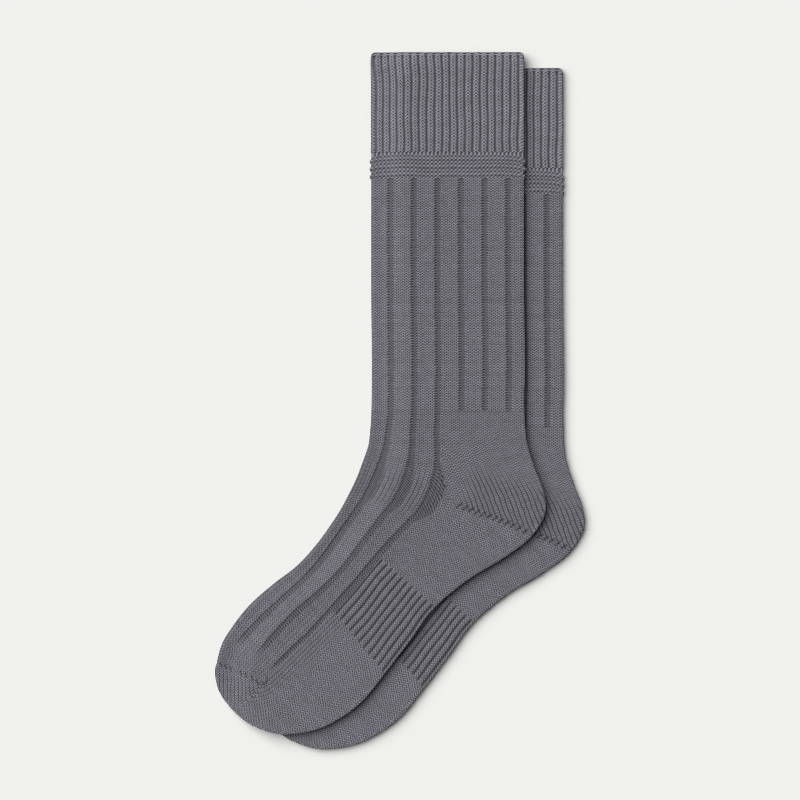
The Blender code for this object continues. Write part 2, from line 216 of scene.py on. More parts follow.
# The toe cap turns round one point, where its gore and the third sunk line end
TOE_TURN = (-69.6, 176.0)  # x and how far down from the leg's end
TOE_TURN_WALE = 18.3
TOE_WALE = 2.45
TOE_FACES = (-45.0, -80.0, -180.0)  # directions out of the turning point, across its wales
TOE_CORNERS = 1.6  # how softly the wales turn from one to the next
TOE_GORE_DIRECTION = (-0.93, 0.36)  # from the turning point to the front fold
TOE_GORE_MARKS = (8.0, 12.3, 15.9, 23.0, 26.6, 29.8)  # along it, from the turning point
TOE_GORE_STROKE = (0.5, -1.2)  # half a mark, to the right and down
TOE_CAP_COURSE = 200.0  # the course through the turning point
HookPoint = namedtuple("HookPoint", "x down")  # the loop that closes the gore
HOOK = (
    HookPoint(-74.3, 174.6),
    HookPoint(-73.6, 176.2),
    HookPoint(-72.0, 177.4),
    HookPoint(-68.2, 177.1),
    HookPoint(-67.3, 175.6),
    HookPoint(-67.2, 172.4),
)
TOE_HIDDEN_TO = 0.22  # share of the lower toe's chord that the upper one covers
FOREFOOT_WIDTH = 74.0
TOE_APART = 0.68  # how far apart the instep's wales are on the toe
# The cap's are drawn apart to the left of its turning point, but not far below it
CAP_APART_LEFT, CAP_APART_BELOW = (-3.0, -9.0), (-18.0, -9.0)

# How finely the shells are made
COLUMNS_A_WALE = 6
ROWS_A_COURSE = 4
COLUMNS_A_RIB = 8
FOLD_COLUMNS = 11
TOE_SPACING = 0.32  # both ways
HIDDEN_SPACING = 1.5  # wales between columns that the upper sock covers
INSIDE_ROW_SPACING = 12.0
INSIDE_LOOKS = (0.3, 1.0, APART)  # recess (painted shade), purl and apart, as the outer face has them
UNDERSIDE_COLUMNS = 6
BAKE_MARGIN = 0.004  # bare edge of the map that the materials are baked on
LOWER_SOCK_DETAIL_FROM = 25.0  # wale from which the lower sock shows


# ---------------------------------------------------------------- the flat sock's geometry


def smooth_step(low, high, value):
    f = np.clip((value - low) / (high - low), 0, 1)
    return f * f * (3 - 2 * f)


def hermite(knots, values, at):
    """Values at stations, on a smooth curve through the knots."""
    values = np.asarray(values, float)
    slopes = np.gradient(values, knots, axis=0)
    left = np.clip(np.searchsorted(knots, at, side="right") - 1, 0, len(knots) - 2)
    span = knots[left + 1] - knots[left]
    f = (at - knots[left]) / span
    if values.ndim == 2:
        f, span = f[:, None], span[:, None]
    return (
        (1 + 2 * f) * (1 - f) ** 2 * values[left]
        + f * (1 - f) ** 2 * span * slopes[left]
        + f**2 * (3 - 2 * f) * values[left + 1]
        + f**2 * (f - 1) * span * slopes[left + 1]
    )


def section_table():
    """All cross-sections from the cuff to the tip: names, front folds, back folds, fullness."""
    rows = [(section, 0.0) for section in LEG_SECTIONS]
    rows += [(section, LEG_SECTIONS[-1].back_down) for section in FOOT_SECTIONS]
    fronts = np.array([(section.front_x, -start - section.front_down) for section, start in rows])
    backs = np.array([(section.back_x, -start - section.back_down) for section, start in rows])
    fulls = np.array([section.full for section, _ in rows])
    return [section.name for section, _ in rows], fronts, backs, fulls


NAMES, FRONTS, BACKS, FULLS = section_table()
MIDDLES = (FRONTS + BACKS) / 2
STATIONS = np.concatenate([[0.0], np.cumsum(np.linalg.norm(np.diff(MIDDLES, axis=0), axis=1))])


def station_of(name):
    return STATIONS[NAMES.index(name)]


LEG_END = station_of("leg end")
ARCH_START = station_of("arch start")
ARCH_END = station_of("arch end")
TOE_START = station_of("toe start")
TIP = STATIONS[-1]
LEG_END_COURSE = LEG_END / COURSE
ARCH_START_COURSE = LEG_END_COURSE + INSTEP_COURSES


def chords(stations):
    return hermite(STATIONS, FRONTS, stations), hermite(STATIONS, BACKS, stations)


def outline(step=3.0):
    """The flat sock's outline as one closed loop of points."""
    stations = np.arange(0.0, TIP + step, step).clip(max=TIP)
    fronts, backs = chords(stations)
    return np.concatenate([fronts, backs[::-1]])


def pair_centre():
    points = outline(0.5)
    both = np.concatenate([points, points + LOWER_SOCK_SHIFT])
    return (both.min(axis=0) + both.max(axis=0)) / 2


PAIR_CENTRE = pair_centre()


def below_leg(x, down):
    """A place on the flat sock, from how far down it is from the leg's end."""
    return np.array([x, -LEG_END - down])


def distance_outside(points, loop):
    """How far each point lies outside a closed loop, and 0 inside it."""
    start, end = loop, np.roll(loop, -1, axis=0)
    along = end - start
    offset = points[:, None] - start
    share = (offset * along).sum(2) / np.maximum((along**2).sum(1), 1e-9)
    nearest = start + share.clip(0, 1)[..., None] * along
    distance = np.linalg.norm(points[:, None] - nearest, axis=2).min(axis=1)
    crosses = (start[:, 1] > points[:, None, 1]) != (end[:, 1] > points[:, None, 1])
    rise = np.where(along[:, 1] == 0, 1.0, along[:, 1])
    cross_x = start[:, 0] + (points[:, None, 1] - start[:, 1]) / rise * along[:, 0]
    inside = (crosses & (points[:, None, 0] < cross_x)).sum(1) % 2 == 1
    return np.where(inside, 0.0, distance)


class Drape:
    """Height of the upper sock's underside: on the lower sock, then down to the surface."""

    STEP = 1.5
    MARGIN = 6.0

    def __init__(self):
        loop = outline() + LOWER_SOCK_SHIFT
        reach = outline()
        self.low = reach.min(axis=0) - self.MARGIN
        high = reach.max(axis=0) + self.MARGIN
        xs = np.arange(self.low[0], high[0] + self.STEP, self.STEP)
        ys = np.arange(self.low[1], high[1] + self.STEP, self.STEP)
        rows = [distance_outside(np.column_stack([xs, np.full(len(xs), y)]), loop) for y in ys]
        past = smooth_step(FALL_STARTS, FALL_ENDS, np.array(rows))
        self.heights = UPPER_SOCK_RISE * (1 - past)

    def __call__(self, flat):
        place = (flat - self.low) / self.STEP
        cell = np.floor(place).astype(int)
        fx, fy = (place - cell)[..., 0], (place - cell)[..., 1]
        x, y = cell[..., 0], cell[..., 1]
        h = self.heights
        near = h[y, x] * (1 - fx) + h[y, x + 1] * fx
        far = h[y + 1, x] * (1 - fx) + h[y + 1, x + 1] * fx
        return near * (1 - fy) + far * fy


def on_the_surface(flat):
    return np.zeros(flat.shape[:-1])


Sock = namedtuple("Sock", "name shift height detail_from")
SOCKS = (
    Sock("upper", np.zeros(2), Drape(), -9.0),
    Sock("lower", np.array(LOWER_SOCK_SHIFT), on_the_surface, LOWER_SOCK_DETAIL_FROM),
)

# Wales at the two ends of the flat top, where the folds begin, and round each fold
FRONT_WALE = LINE_WALES[0] + (FOLD_RADIUS - FIRST_LINE_X) / WALE
BACK_WALE = FRONT_WALE + (LEG_WIDTH - 2 * FOLD_RADIUS) / WALE
FOLD_WALES = np.pi * FOLD_RADIUS / WALE
UNDERSIDE_WALES = WALES_ROUND - (BACK_WALE - FRONT_WALE) - 2 * FOLD_WALES


class Columns:
    """The points round a sock: underside, front fold, top, back fold, underside.

    top holds a place for each point on the top, in the stage's own measure. turn is a point's
    angle on a fold, from 90 degrees at the top to -90 underneath. under is its share of the
    chord on the underside.
    """

    def __init__(self, top):
        self.top = np.asarray(top, float)
        self.under = np.linspace(0.5, 0.0, UNDERSIDE_COLUMNS)
        fold = np.linspace(0, 1, FOLD_COLUMNS + 2)[1:-1]
        self.turn = np.pi * (fold - 0.5)
        counts = (UNDERSIDE_COLUMNS, FOLD_COLUMNS, len(self.top), FOLD_COLUMNS, UNDERSIDE_COLUMNS)
        edges = [int(edge) for edge in np.cumsum((0, *counts))]
        self.count = edges[-1]
        parts = [slice(first, last) for first, last in zip(edges, edges[1:])]
        self.under_front, self.front, self.top_part, self.back, self.under_back = parts
        fold_wales = fold * FOLD_WALES
        under_wales = (0.5 - self.under) * UNDERSIDE_WALES
        under_before = under_wales - under_wales[-1] - FOLD_WALES
        under_after = FOLD_WALES + under_wales[-1] - under_wales[::-1]
        self.wales_before = np.concatenate([under_before, fold_wales - FOLD_WALES])
        self.wales_after = np.concatenate([fold_wales, under_after])

    def spread(self, rows, before, top, after):
        """One array of all columns from the values on the top and on the two sides of it."""
        whole = np.empty((rows, self.count))
        whole[:, self.under_front] = before[..., : len(self.under)]
        whole[:, self.front] = before[..., len(self.under) :]
        whole[:, self.top_part] = top
        whole[:, self.back] = after[..., : len(self.turn)]
        whole[:, self.under_back] = after[..., len(self.turn) :]
        return whole


def per_row(value, rows):
    """A number for each row, from one for all or one for each."""
    return np.broadcast_to(np.asarray(value, float), (rows,))[:, None]


class Lay:
    """Where a sock's outer or inner face lies: stations down, columns round.

    shares is each top point's share of the chord. bottom and top are the face's heights. inset is
    how far in from the folds it is, pinch how far an end is drawn together, and loops_out how far
    the loops stand out round the folds.
    """

    def __init__(
        self, sock, stations, columns, shares, bottom, top, inset=0.0, pinch=0.0, loops_out=0.0
    ):
        rows = len(stations)
        self.sock, self.columns, self.rows, self.loops_out = sock, columns, rows, loops_out
        self.fronts, backs = chords(stations)
        across = backs - self.fronts
        width = np.linalg.norm(across, axis=1)[:, None]
        self.across = across / width
        full = np.interp(stations, STATIONS, FULLS)[:, None]
        pinch, inset = per_row(pinch, rows), per_row(inset, rows)
        self.bottom = bottom * full + pinch
        self.top = top * full - pinch
        self.radius = (self.top - self.bottom) / 2
        inset = inset * np.where(inset > 0, full, 1.0) + pinch
        self.near = inset + self.radius
        self.far = width - inset - self.radius
        on_fold = np.zeros(len(columns.turn))
        before = np.concatenate([columns.under, on_fold])
        after = np.concatenate([on_fold + 1, 1 - columns.under[::-1]])
        self.chord_share = columns.spread(rows, before, shares, after)
        turned_in = self.radius * (np.pi / 2 - columns.turn)
        underneath = np.zeros((rows, len(columns.under)))
        round_front = np.concatenate([underneath, -turned_in], axis=1)
        round_back = np.concatenate([turned_in[:, ::-1], underneath], axis=1)
        self.unrolled_past = columns.spread(rows, round_front, 0.0, round_back)

    def flat(self, reach):
        return self.fronts[:, None] + self.across[:, None] * reach[..., None]

    def unrolled(self):
        """Each point's place on the cloth as if its folds were opened out flat."""
        reach = self.near + self.chord_share * (self.far - self.near) + self.unrolled_past
        return self.flat(reach)

    def points(self, depth=None):
        """Each point in metres, set in from the face by its depth."""
        columns = self.columns
        if depth is None:
            depth = np.zeros((self.rows, columns.count))
        reach = self.near + self.chord_share * (self.far - self.near)
        height = np.empty_like(reach)
        height[:, columns.under_front] = self.bottom
        height[:, columns.under_back] = self.bottom
        height[:, columns.top_part] = self.top - depth[:, columns.top_part]
        middle = self.bottom + self.radius
        for part, side, turn in (
            (columns.front, -1.0, columns.turn),
            (columns.back, 1.0, columns.turn[::-1]),
        ):
            radius = self.radius - depth[:, part]
            bulge = np.cos(turn) ** FOLD_FLATNESS
            rise = np.sign(np.sin(turn)) * np.abs(np.sin(turn)) ** FOLD_FLATNESS
            reach[:, part] += side * (radius + self.loops_out) * bulge
            height[:, part] = middle + radius * rise
        flat = self.flat(reach)
        height = height + self.sock.height(flat + self.sock.shift)
        flat = flat + self.sock.shift - PAIR_CENTRE
        return np.concatenate([flat, height[..., None]], axis=2) * METRE


# ---------------------------------------------------------------- the knit's relief


STITCH_UNEVEN = np.random.default_rng(11).normal(0.0, 1.0, (96, 400))


def stitch_variation(u, v):
    """A fixed random number for each stitch."""
    return STITCH_UNEVEN[np.floor(u).astype(int) % 96, np.floor(v).astype(int) % 400]


def uneven(flat, wales, courses, amount=1.0):
    """Wales and courses as hands and machines leave them, a little out of line."""
    loose = wander(9 * flat) + 0.6 * wander(17 * flat[..., ::-1] + 3.0)
    tight = wander(8 * flat[..., ::-1] + 5.0)
    return wales + UNEVEN_WALES * amount * tight, courses + UNEVEN_COURSES * amount * loose


def wander(flat):
    """Slow unevenness of the laid cloth, from -1 to 1."""
    x, y = flat[..., 0], flat[..., 1]
    waves = np.sin(0.071 * x + 0.043 * y + 1.3) + np.sin(0.029 * x - 0.088 * y + 0.4)
    return (waves + np.sin(0.13 * x + 0.021 * y + 2.6)) / 3


# depth is in mm. recess is how much painted shade darkens it, and purl the share of purl to knit.
Relief = namedtuple("Relief", "depth recess purl")


def plain_knit(sizes, u, v, lean=STITCH_LEAN):
    """Knit stitches, each an upturned V of two legs, one to a wale and course."""
    off_middle = np.abs(2 * (u % 1) - 1)
    legs = 0.5 + 0.5 * np.cos(2 * np.pi * (v - lean * off_middle))
    height = legs * (1 - 0.5 * off_middle**4)
    low = (1 - height) * (1 + 0.12 * stitch_variation(u, v))
    return Relief(sizes.stitch_relief / METRE * low, np.zeros_like(low), np.zeros_like(low))


def purl_knit(sizes, u, v):
    """Purl bumps, set like bricks."""
    height = 0.5 + 0.5 * np.cos(2 * np.pi * u) * np.cos(2 * np.pi * v)
    low = (1 - height) * (1 + 0.12 * stitch_variation(u, 2 * v))
    return Relief(sizes.purl_relief / METRE * low, np.zeros_like(low), np.ones_like(low))


def blend(first, second, share):
    return Relief(*(a * (1 - share) + b * share for a, b in zip(first, second)))


def deepened(relief, depth, recess, share):
    """A relief let down by a depth, and in shade by a recess, where share is 1."""
    return relief._replace(
        depth=relief.depth + depth * share, recess=relief.recess + recess * share
    )


def line_share(u, lines, widened, beyond=0.0):
    """1 in the sunk lines and 0 on the panels, with a sloping side between.

    widened is how much wider to the right each line is, and beyond how much all are.
    """
    share = np.zeros_like(u)
    for line, wider in zip(lines, widened):
        past_left = (u - line + LINE_LEFT) / LINE_SIDE
        short_of_right = (line + LINE_RIGHT + wider + beyond - u) / LINE_SIDE
        share = np.maximum(share, np.minimum(past_left, short_of_right).clip(0, 1))
    return share * share * (3 - 2 * share)


def line_roll(u, lines, widened):
    """1 along the panels' edges, where the knit rolls up beside a line."""
    roll = np.zeros_like(u)
    for line, wider in zip(lines, widened):
        roll += np.exp(-(((u - line + LINE_LEFT + 0.5) / 0.4) ** 2))
        roll += np.exp(-(((u - line - LINE_RIGHT - wider - 0.5) / 0.4) ** 2))
    return roll


def wide_ribs(sizes, u, v, lines, kept=1.0, widened=None):
    """The 4x2 rib: panels of knit with sunk lines of purl between them."""
    widened = widened or [0.0] * len(lines)
    share = line_share(u, lines, widened) * kept
    ribs = blend(plain_knit(sizes, u, v), purl_knit(sizes, u, v), share)
    ribs = deepened(ribs, RIB_DEPTH, 0.0, share)
    roll = line_roll(u, lines, widened) * (1 - share) * kept
    ribs = ribs._replace(depth=ribs.depth + LINE_ROLL * (1 - roll))
    # Painted shade in the sunk lines, reaching a little past their right sides
    return deepened(ribs, 0.0, 0.72, line_share(u, lines, widened, beyond=0.15) * kept)


def rib_wales(place):
    """The wale across a narrow rib, whose one knit wale leaves the groove's width bare."""
    across = (place % 1 - 0.5) / RIB_FACE + 0.5
    return np.floor(place) + across.clip(0.02, 0.98)


def narrow_ribs(sizes, place, v, lean, shade, groove_from):
    """1x1 ribs: one wale of knit to each, and a deep groove at each whole number.

    lean is that of the stitches, shade how dark the grooves are, and groove_from how far off
    a rib's middle they begin.
    """
    off_middle = np.abs(2 * (place % 1) - 1)
    groove = smooth_step(groove_from, 0.97, off_middle)
    stitches = plain_knit(sizes, rib_wales(place), v, lean)
    depth = stitches.depth * (1 - 0.7 * groove) + 0.15 * off_middle**2
    return deepened(stitches._replace(depth=depth), sizes.groove_depth / METRE, shade, groove)


def segment_distance(flat, first, last):
    along = last - first
    share = ((flat - first) @ along / (along @ along)).clip(0, 1)
    return np.linalg.norm(flat - first - share[..., None] * along, axis=-1)


def stroked(relief, flat, strokes, width=STROKE_WIDTH):
    """Dark gaps between loops, each along a line between two points."""
    nearest = np.min([segment_distance(flat, first, last) for first, last in strokes], axis=0)
    return deepened(relief, 0.6, 1.0, np.exp(-((nearest / width) ** 2)))


# ---------------------------------------------------------------- places on the foot


def foot_lines(stations):
    """The three sunk lines' shares of the chord at each station of the foot."""
    knots = np.array([station_of(path.section) for path in SUNK_LINE_PATHS])
    lines = np.array([(path.line_1, path.line_2, path.line_3) for path in SUNK_LINE_PATHS])
    return hermite(knots, lines, np.clip(stations, knots[0], knots[-1]))


def foot_shares(stations, wales, crowd):
    """Each wale's share of the chord. crowd draws the pocket's first wales closer."""
    lines = foot_lines(stations)
    knots = np.array([FRONT_WALE, *FOOT_LINE_WALES, BACK_WALE])
    ends = np.zeros(len(stations))[:, None]
    shares = np.concatenate([ends, lines, ends + 1], axis=1)
    part = np.clip(np.searchsorted(knots, wales, side="right") - 1, 0, len(knots) - 2)
    f = (wales - knots[part]) / (knots[part + 1] - knots[part])
    f = np.where(part == 3, f - np.outer(crowd, f * (1 - f)), np.outer(np.ones_like(crowd), f))
    return shares[:, part] * (1 - f) + shares[:, part + 1] * f


def foot_wales(stations, shares):
    """The wale at each share of the chord, on the instep side."""
    lines = foot_lines(stations)
    knots = [np.zeros(len(stations)), *lines.T, np.ones(len(stations))]
    wales = [FRONT_WALE, *FOOT_LINE_WALES, BACK_WALE]
    found = np.full(shares.shape, FRONT_WALE)
    for low, high, first, last in zip(knots, knots[1:], wales, wales[1:]):
        f = (shares - low[:, None]) / (high - low)[:, None]
        found = np.where(f >= 0, first + f * (last - first), found)
    return found


def lengths_down(flat):
    """How far each point is down its own column, from the first row."""
    steps = np.linalg.norm(np.diff(flat, axis=0), axis=2)
    return np.concatenate([np.zeros((1, flat.shape[1])), np.cumsum(steps, axis=0)])


# ---------------------------------------------------------------- meshes


def spaced(first, last, step):
    count = max(2, int(round((last - first) / step)) + 1)
    return np.linspace(first, last, count)


def whole_steps(first, last, per_unit):
    """The two ends and every whole fraction between them."""
    inside = np.arange(np.ceil(first * per_unit), np.floor(last * per_unit) + 1) / per_unit
    near = 0.3 / per_unit
    inside = inside[(inside > first + near) & (inside < last - near)]
    return np.concatenate([[first], inside, [last]])


def thinned(top, detail_from, spacing):
    """Fewer columns before the part of the lower sock that shows."""
    if detail_from <= top[0]:
        return top
    hidden = spaced(top[0], detail_from - spacing, spacing)
    return np.concatenate([hidden, top[top >= detail_from]])


def shown_share(sock, u):
    """0 where the upper sock covers the lower one, and 1 where the knit shows."""
    return smooth_step(sock.detail_from - 1.0, sock.detail_from + 0.5, u)


def fold_fade(columns, rows):
    """The relief dies away round the folds, and the underside is plain."""
    fade = smooth_step(-1.1, -0.2, columns.turn)
    under = np.zeros(len(columns.under))
    before = np.concatenate([under, fade])
    after = np.concatenate([fade[::-1], under])
    return columns.spread(rows, before, np.ones(len(columns.top)), after)


def off_ends(down, reach=8):
    """0 at a stage's two ends, where it meets its neighbours, and 1 past a reach from them."""
    return smooth_step(0, reach, down) * smooth_step(0, reach, down[-1:] - down)


def add_map(mesh, name, places, corners):
    """A UV map from a place for each point."""
    layer = mesh.uv_layers.new(name=name)
    layer.uv.foreach_set("vector", places.reshape(-1, 2)[corners].astype(np.float32).ravel())
    return layer


def shell(name, outer, inner, knit, looks, closed_end):
    """One closed shell from the outer face's points and the inner face's, as one mapped grid.

    knit is each outer point's (wale, course), and looks its (recess, purl, apart).
    """
    inner_knit = np.broadcast_to(knit[:1], inner.shape[:2] + (2,)) * 1.0
    inner_knit[..., 1] = np.linspace(knit[0, 0, 1], knit[-1, 0, 1], len(inner))[:, None]
    inner_looks = np.broadcast_to(INSIDE_LOOKS, inner.shape[:2] + (3,))
    rows = [(outer, knit, looks)]
    if closed_end:
        for face in (outer, inner):
            middle = np.broadcast_to(face[-1].mean(axis=0), (1,) + outer.shape[1:])
            rows.append((middle, knit[-1:], looks[-1:]))
    rows.append((inner[::-1], inner_knit[::-1], inner_looks[::-1]))
    rows.append((outer[:1], knit[:1], looks[:1]))
    points, knits, looks = (np.concatenate(part) for part in zip(*rows))

    bm = bmesh.new()
    down, round_count = points.shape[:2]
    bmesh.ops.create_grid(bm, x_segments=round_count - 1, y_segments=down - 1, size=1.0)
    mesh = bpy.data.meshes.new(name)
    bm.to_mesh(mesh)
    bm.free()
    mesh.vertices.foreach_set("co", points.astype(np.float32).ravel())
    for index, attribute in enumerate(("Recess", "Purl", "Apart")):
        layer = mesh.attributes.new(attribute, "FLOAT", "POINT")
        layer.data.foreach_set("value", looks[..., index].astype(np.float32).ravel())
    corners = np.empty(len(mesh.loops), np.int32)
    mesh.loops.foreach_get("vertex_index", corners)
    knit_map = add_map(mesh, "Knit", knits, corners)
    across = np.linspace(BAKE_MARGIN, 1 - BAKE_MARGIN, round_count)
    along = np.linspace(BAKE_MARGIN, 1 - BAKE_MARGIN, down)
    add_map(mesh, "OFBake", np.stack(np.meshgrid(across, along), axis=2), corners)
    mesh.uv_layers.active = knit_map

    bm = bmesh.new()
    bm.from_mesh(mesh)
    bmesh.ops.remove_doubles(bm, verts=bm.verts, dist=1e-7)
    wires = [edge for edge in bm.edges if edge.is_wire]
    bmesh.ops.delete(bm, geom=wires, context="EDGES")
    bmesh.ops.recalc_face_normals(bm, faces=bm.faces)
    bm.to_mesh(mesh)
    bm.free()
    mesh.shade_smooth()
    piece = bpy.data.objects.new(name, mesh)
    bpy.context.scene.collection.objects.link(piece)
    return piece


class Stage:
    """One knitted stage of a sock: its points round and down, and where its face lies.

    shares_at gives each top point's share of the chord at some stations, where the columns don't
    run straight down. face says how the face departs from a plain tube's, as Lay has it.
    """

    def __init__(self, sock, name, columns, stations, shares_at=None, **face):
        self.sock, self.name, self.columns, self.stations = sock, name, columns, stations
        self.shares_at = shares_at or self.even_shares
        face = {"loops_out": LOOPS_OUT, **face}
        self.lay = Lay(sock, stations, columns, self.shares_at(stations), 0.0, FLAT_HEIGHT, **face)
        self.flat = self.lay.unrolled()

    def even_shares(self, stations):
        top = self.columns.top
        share = (top - top[0]) / (top[-1] - top[0])
        return np.broadcast_to(share, (len(stations), len(share)))

    def round_places(self, per_wale=1.0):
        """Every point's place round the sock, in the measure that the top has."""
        columns = self.columns
        before = columns.top[0] + columns.wales_before * per_wale
        after = columns.top[-1] + columns.wales_after * per_wale
        return columns.spread(len(self.stations), before, columns.top, after)

    def fade(self):
        return fold_fade(self.columns, len(self.stations))

    def finish(self, relief, fade, wales, courses, apart=APART, sag=None):
        """Makes the stage's shell from its relief, and says what it stands for.

        fade is how much of the relief is kept, apart how far its wales are drawn apart, from 0 to
        1, and sag what lets its points down at the end.
        """
        sock, name, columns = self.sock, self.name, self.columns
        first, last = self.stations[[0, -1]]
        closed = name == "toe"
        inside = spaced(first, station_of("toe corner") if closed else last, INSIDE_ROW_SPACING)
        inner_lay = Lay(sock, inside, columns, self.shares_at(inside), WALL, WALL + SLIT, inset=WALL)
        outer = self.lay.points(relief.depth.clip(0) * fade)
        inner = inner_lay.points()
        if sag:
            sag(outer)
            sag(inner)
        recess = (relief.recess * fade).clip(0, 1)
        looks = np.stack([recess, relief.purl, np.broadcast_to(apart, wales.shape)], axis=2)
        knit = np.stack([wales, np.broadcast_to(courses, wales.shape)], axis=2)
        piece = shell(f"{sock.name}_{name}_cloth", outer, inner, knit, looks, closed)
        piece.data.materials.append(stage_material(name))
        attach(piece, "root")
        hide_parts(f"{sock.name}_{name}")


# ---------------------------------------------------------------- the six stages


def leg_columns(sock):
    top = whole_steps(FRONT_WALE, BACK_WALE, COLUMNS_A_WALE)
    return Columns(thinned(top, sock.detail_from, HIDDEN_SPACING))


def cuff(sock, sizes):
    """1x1 ribs from the band up to an open mouth with a rounded lip."""
    first = (FOLD_RADIUS - FIRST_CUFF_GROOVE) / CUFF_RIB
    last = first + (LEG_WIDTH - 2 * FOLD_RADIUS) / CUFF_RIB
    detail = first + (sock.detail_from - FRONT_WALE) * WALE / CUFF_RIB
    columns = Columns(thinned(whole_steps(first, last, COLUMNS_A_RIB), detail, 1.0))
    lip = sizes.lip / METRE
    lip_stations = lip * (1 - np.cos(np.linspace(0.15, 1.0, LIP_ROWS) * np.pi / 2))
    below = spaced(lip, CUFF_LENGTH, CUFF_COURSE / ROWS_A_COURSE)[1:]
    stations = np.concatenate([lip_stations, below])
    pinch = lip * (1 - np.sqrt(np.clip(1 - (1 - stations / lip).clip(0) ** 2, 0, 1)))
    stage = Stage(sock, "cuff", columns, stations, pinch=pinch, loops_out=1.5 * LOOPS_OUT)
    flat = stage.flat
    ribs = stage.round_places(WALE / CUFF_RIB)
    down = stations[:, None]
    splay = RIBS_SPLAY * smooth_step(22, 0, down) * smooth_step(12, 0, ribs)
    place = ribs + 0.11 * wander(flat * 1.7) * off_ends(down, 10) + splay
    place = place - RIBS_CROWD * smooth_step(2.2, -1.0, ribs)
    courses = down / CUFF_COURSE + 0.12 * wander(flat[..., ::-1] * 2.3)
    _, courses = uneven(flat, place, courses)
    # Painted shade in the grooves, less in the first ones by the front fold
    shade = 0.85 - 0.5 * smooth_step(0.6, -0.6, place)
    relief = narrow_ribs(sizes, place, courses, RIB_STITCH_LEAN, shade, 0.62)
    edge = smooth_step(MOUTH_EDGE + 1.0, MOUTH_EDGE - 0.8, down)
    relief = blend(relief, purl_knit(sizes, 2 * place, courses), 0.9 * edge)
    off_groove = 0.5 - np.abs(place % 1 - 0.5)
    past_eyelets = (down - MOUTH_EDGE - EYELETS_BELOW_EDGE) / EYELET_LENGTH
    eyelets = np.exp(-(past_eyelets**2) - (off_groove / EYELET_WIDTH) ** 2)
    # The eyelets are sunk and darkened with painted shade
    relief = deepened(relief, 0.5, 0.8, eyelets)
    fade = stage.fade() * smooth_step(0.0, 1.2, down) * smooth_step(detail - 0.6, detail, ribs)
    stage.finish(relief, fade, rib_wales(place), courses, sag=mouth_sag)


def mouth_sag(points):
    """Lets the mouth's two corners down, round like a loosely folded edge."""
    low, high = points[..., 0].min(), points[..., 0].max()
    from_fold = np.minimum(points[..., 0] - low, high - points[..., 0]) / METRE
    below = (points[..., 1].max() - points[..., 1]) / METRE
    across, down = MOUTH_CORNER
    round_off = 1 - np.sqrt(1 - (1 - from_fold / across).clip(0, 1) ** 2)
    points[..., 1] -= METRE * (down * round_off + MOUTH_DROP) * smooth_step(24, 0, below)


def band_crest(down):
    """(height from 0 to 1, repeats of the bumps) of the garter ridges at places down the band."""
    downs = np.array([crest.down for crest in BAND_CRESTS])
    height = hermite(downs, [crest.height for crest in BAND_CRESTS], down.ravel())
    repeats = np.interp(down, downs, [crest.repeats for crest in BAND_CRESTS])
    return height.clip(0, 1).reshape(down.shape), repeats


def band(sock, sizes):
    """Three garter ridges of purl bumps, which push the folds out a little."""
    stations = spaced(CUFF_LENGTH, LEG_START, BAND_ROW_SPACING)
    down = (stations - CUFF_LENGTH)[:, None]
    bulge = BAND_BULGE * band_crest((down[:, 0] - BAND_DROOP).clip(0))[0]
    stage = Stage(sock, "band", leg_columns(sock), stations, inset=-bulge)
    wales = stage.round_places()
    from_fold = np.minimum(stage.flat[..., 0], LEG_WIDTH - stage.flat[..., 0]).clip(0)
    droop = BAND_DROOP * np.exp(-from_fold / DROOP_REACH) + 0.35 * wander(stage.flat * 1.6)
    crest, courses = band_crest((down - droop * off_ends(down, 2)).clip(0, BAND_LENGTH))
    bumps = purl_knit(sizes, wales, courses)
    # Sunk between the ridges, with a little painted shade there
    relief = deepened(bumps, sizes.ridge_depth / METRE, 0.2, (1 - crest) ** 2)
    stage.finish(relief, stage.fade() * shown_share(sock, wales), wales, courses)


def leg(sock, sizes):
    """The wide-rib tube, straight down to the heel."""
    stations = spaced(LEG_START, LEG_END, COURSE / ROWS_A_COURSE)
    stage = Stage(sock, "leg", leg_columns(sock), stations)
    courses = (stations / COURSE)[:, None] + 0.15 * wander(stage.flat * 1.9)
    ends = off_ends(stations[:, None] - stations[0])
    wales, courses = uneven(stage.flat, stage.round_places(), courses, ends)
    relief = wide_ribs(sizes, wales, courses, LINE_WALES)
    stage.finish(relief, stage.fade() * shown_share(sock, wales), wales, courses)


